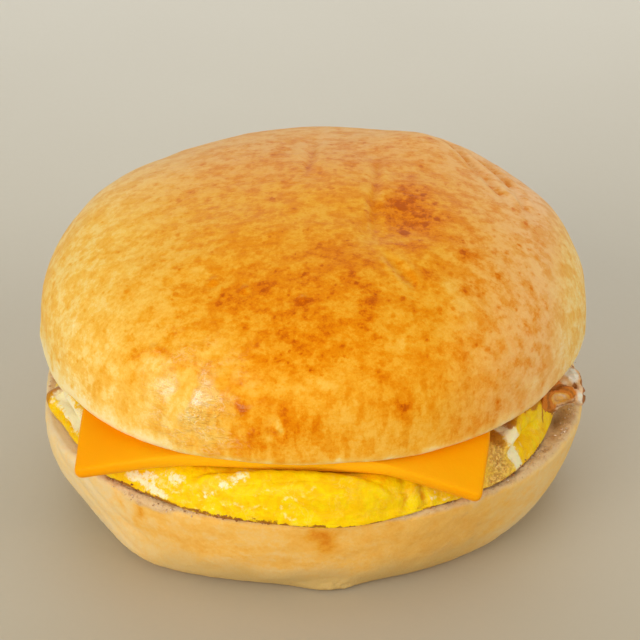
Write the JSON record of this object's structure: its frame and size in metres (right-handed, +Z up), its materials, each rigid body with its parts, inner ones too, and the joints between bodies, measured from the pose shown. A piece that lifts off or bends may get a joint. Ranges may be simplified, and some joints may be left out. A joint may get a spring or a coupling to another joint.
{
  "type": "egg and cheese sandwich",
  "caption": "Breakfast sandwich: a round glazed roll cut across, with a folded fried egg and a square slice of yellow cheese whose corners stick out and droop.",
  "frame": {"origin": "centre of the flat face that the sandwich rests on, under the middle of the roll", "axes": "+Z up through the layers; -Y towards the front, where the egg's round fold and the drooping cheese corners show; +X to the right seen from the front"},
  "size_m": [0.1155, 0.1131, 0.07],
  "materials": {
    "crown_crust": "glossy egg-washed crust",
    "heel_crust": "satin pale crust",
    "egg": "moist glossy fried egg",
    "cheese": "smooth satin cheese"
  },
  "bodies": {
    "root": {"heel": "heel_crust", "egg": "egg", "cheese": "cheese", "crown": "crown_crust"}
  },
  "joints": []
}
